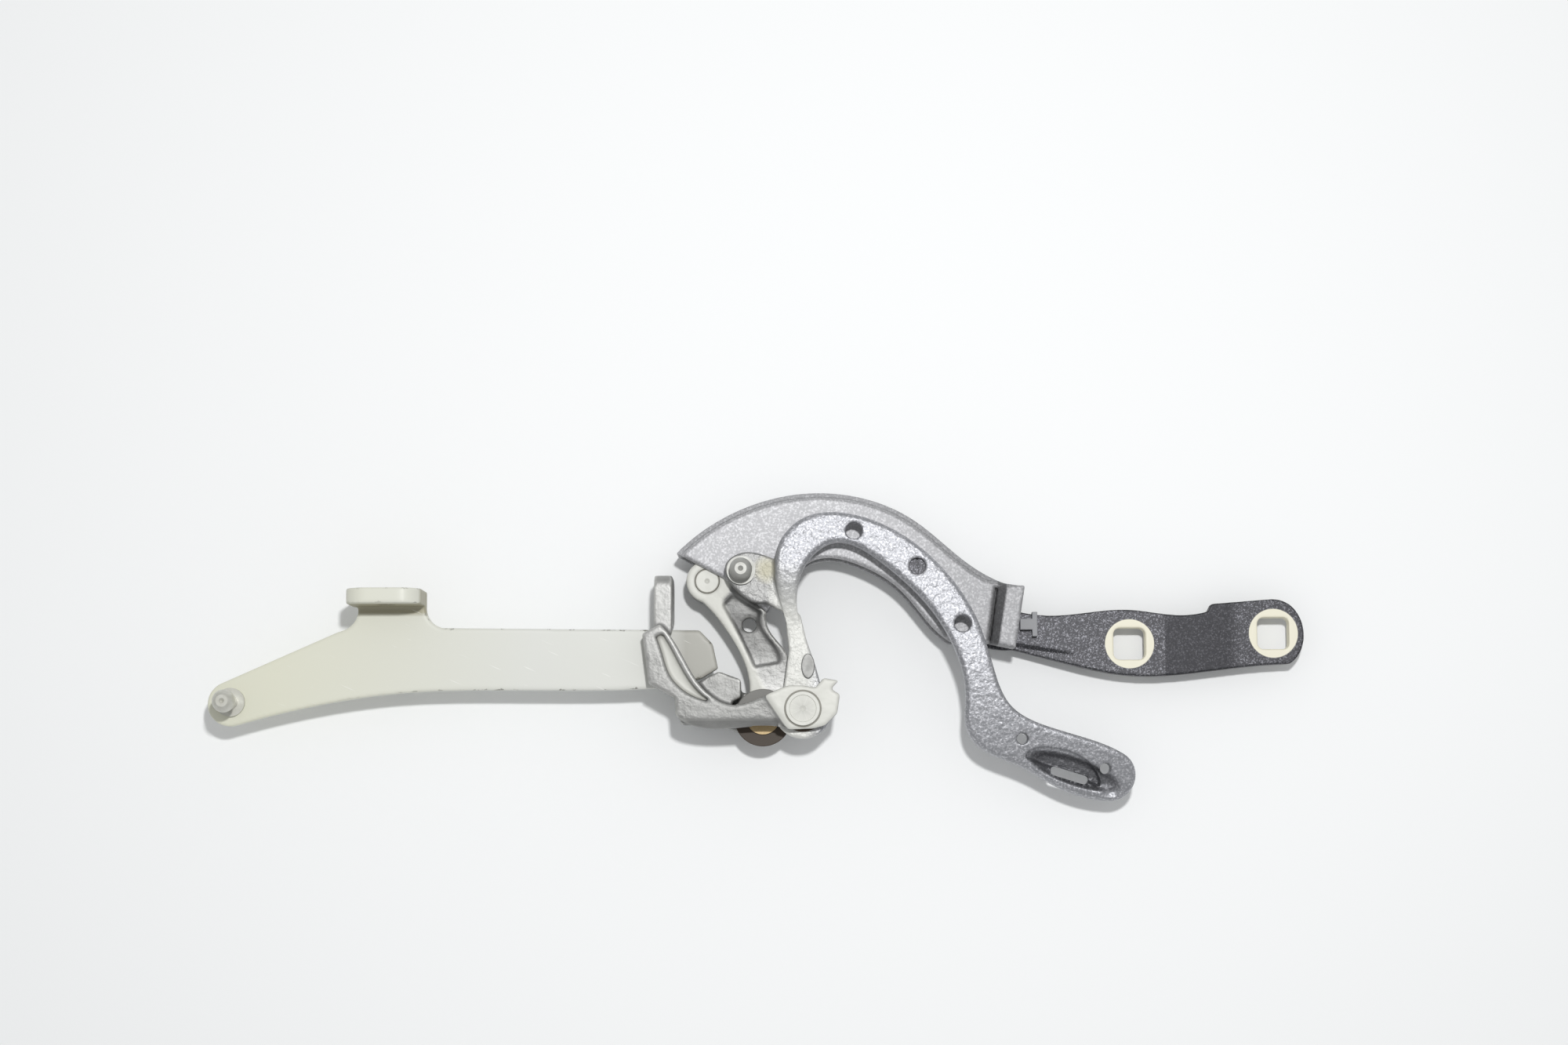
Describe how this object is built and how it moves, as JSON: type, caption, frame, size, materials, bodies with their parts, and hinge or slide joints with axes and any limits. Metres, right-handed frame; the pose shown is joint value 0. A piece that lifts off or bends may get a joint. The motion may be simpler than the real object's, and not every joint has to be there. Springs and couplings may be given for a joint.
{
  "type": "boot lid hinge",
  "caption": "Gooseneck four-bar boot lid hinge with a stamped mounting arm, forged knuckle, control link, covered lid arm and strut ball studs.",
  "frame": {"origin": "on the main pivot axis, at the middle of the gooseneck's eye", "axes": "+Z along the pivots, to the side that carries the strut studs; +X along the hinge, from the mounting arm to the lid arm"},
  "size_m": [0.4916, 0.1385, 0.048],
  "materials": {
    "cream_coat": "electro-dipped primer, satin",
    "cream_forging": "electro-dipped forging with overspray",
    "grey_metallic": "metallic top coat over a rough forging",
    "silver_metallic": "metallic top coat on a moulded shell",
    "dark_metallic": "metallic top coat, dusty",
    "zinc_steel": "zinc plated",
    "bronze": "sintered bronze",
    "brown_washer": "dull bronze",
    "black_clip": "painted moulding"
  },
  "bodies": {
    "bracket": {"mounting_arm": "cream_coat", "arm_ball_stud": "zinc_steel", "arm_rivets": "zinc_steel", "knuckle": "cream_forging", "main_pivot_pin": "zinc_steel", "thrust_washer": "bronze", "link_pivot_pin": "zinc_steel"},
    "gooseneck_arm": {"gooseneck": "grey_metallic", "main_pivot_bush": "bronze", "stop_pad": "zinc_steel", "strut_ball_stud": "zinc_steel", "lid_pivot_pin": "zinc_steel"},
    "link": {"control_link": "cream_forging", "link_bush": "bronze", "link_washer": "brown_washer", "link_rivet": "zinc_steel"},
    "lid_side": {"lid_arm": "dark_metallic", "lid_pivot_bush": "bronze", "hinge_cover": "silver_metallic", "cover_clip": "black_clip"}
  },
  "joints": [
    {"name": "gooseneck_pivot", "type": "hinge", "parent": "bracket", "child": "gooseneck_arm", "pos_m": [0, 0, 0], "axis": [0, 0, -1], "range_deg": [0, 80]},
    {"name": "link_pivot", "type": "hinge", "parent": "bracket", "child": "link", "pos_m": [-0.0177, -0.0034, 0], "axis": [0, 0, -1], "range_deg": [0, 72]},
    {"name": "lid_arm_pivot", "type": "hinge", "parent": "gooseneck_arm", "child": "lid_side", "pos_m": [0.0511, 0.063, 0], "axis": [0, 0, 1], "range_deg": [0, 16]}
  ],
  "couplings": [
    {"joint": "link_pivot", "follows": "gooseneck_pivot", "ratio": 0.848},
    {"joint": "lid_arm_pivot", "follows": "gooseneck_pivot", "ratio": 0.18}
  ]
}
